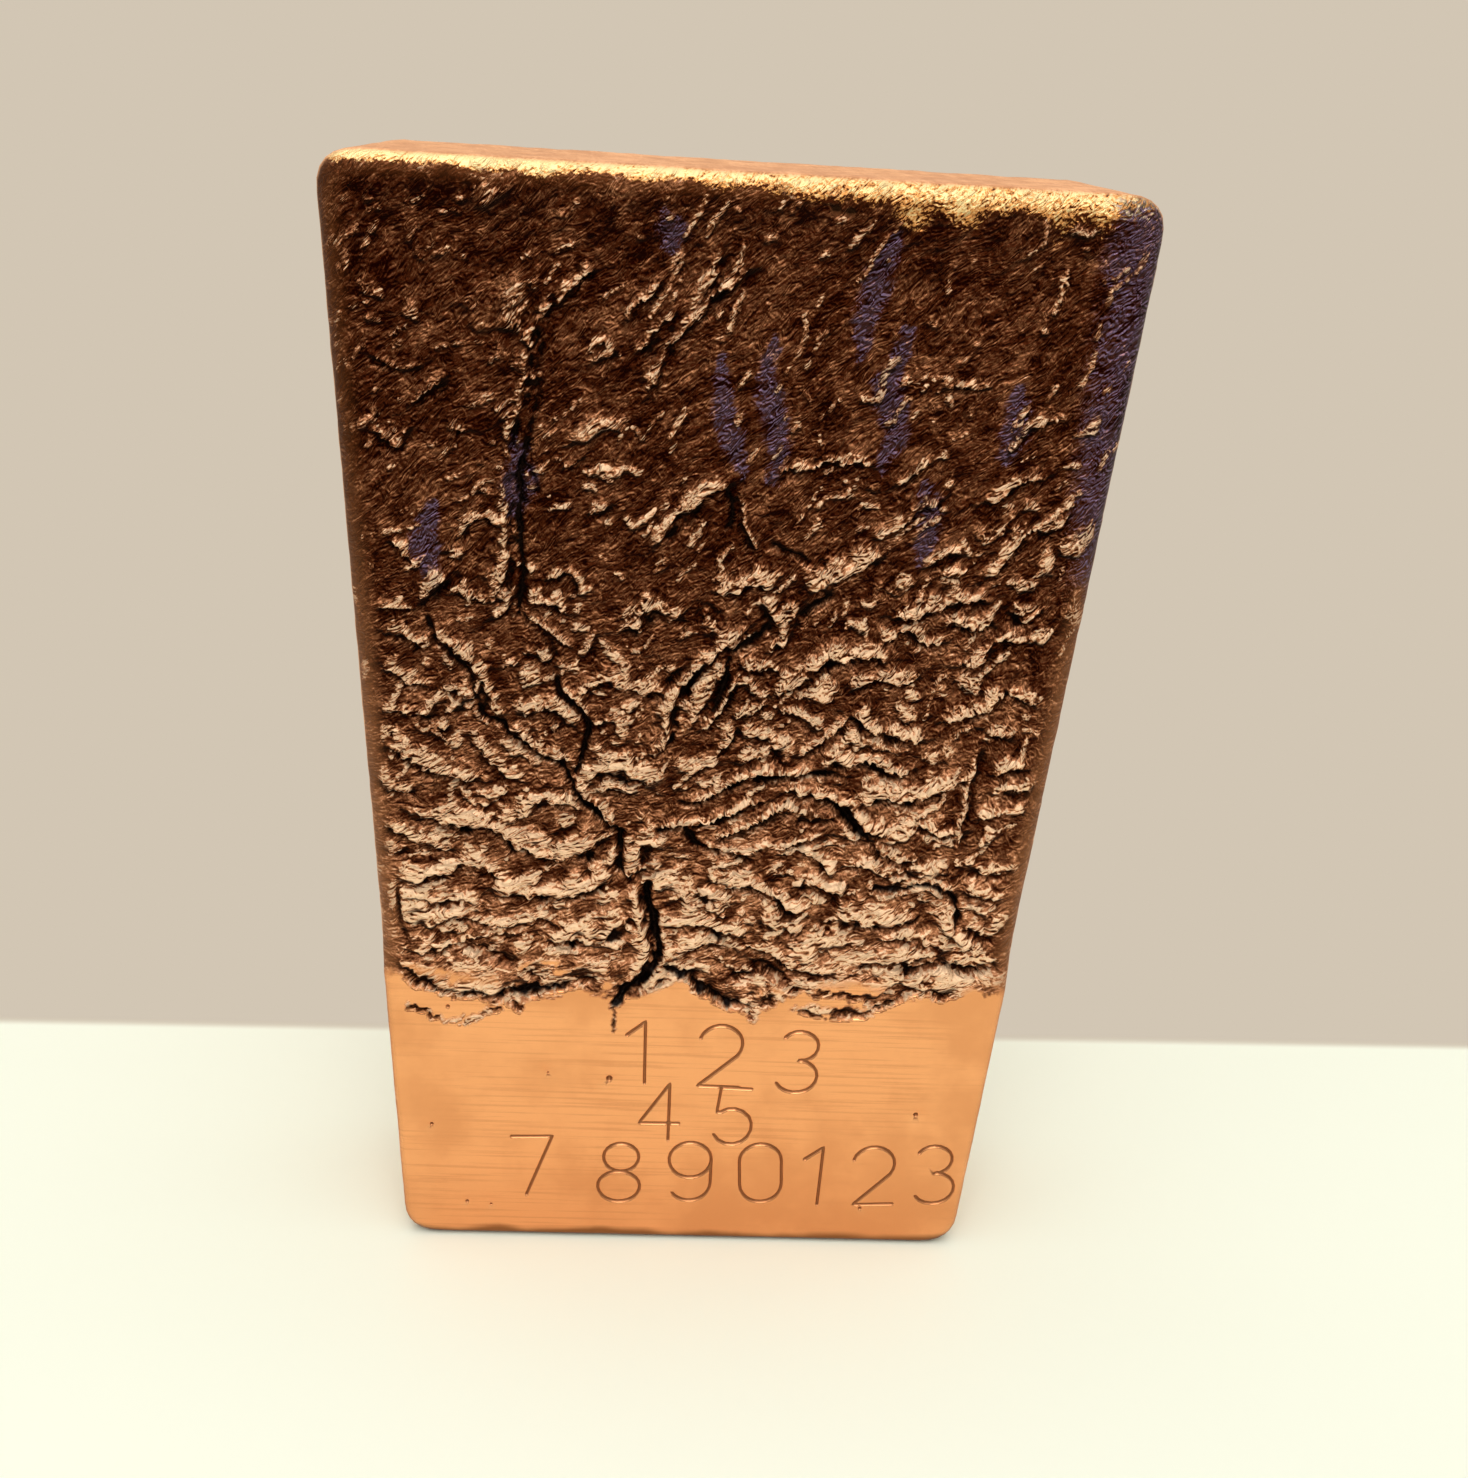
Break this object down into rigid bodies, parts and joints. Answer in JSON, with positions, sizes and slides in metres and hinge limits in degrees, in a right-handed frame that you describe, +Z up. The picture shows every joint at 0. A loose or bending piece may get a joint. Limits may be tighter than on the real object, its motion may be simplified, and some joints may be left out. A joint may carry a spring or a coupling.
{
  "type": "copper ingot",
  "caption": "Tapered cast copper ingot with a wrinkled, furrowed pour face and a polished ground land at its narrow end, stood upright.",
  "frame": {"origin": "centre of the ingot's box, on the floor that it stands on", "axes": "+Z up the ingot's length from its narrow foot to its wide head, +Y from the pour face back to the mould face, +X across the pour face to its right as it is looked at"},
  "size_m": [0.0984, 0.031, 0.1493],
  "materials": {
    "copper": "as cast and darkened on the pour face and sides, mirror polished on the ground land"
  },
  "bodies": {
    "root": {"ingot": "copper"}
  },
  "joints": []
}
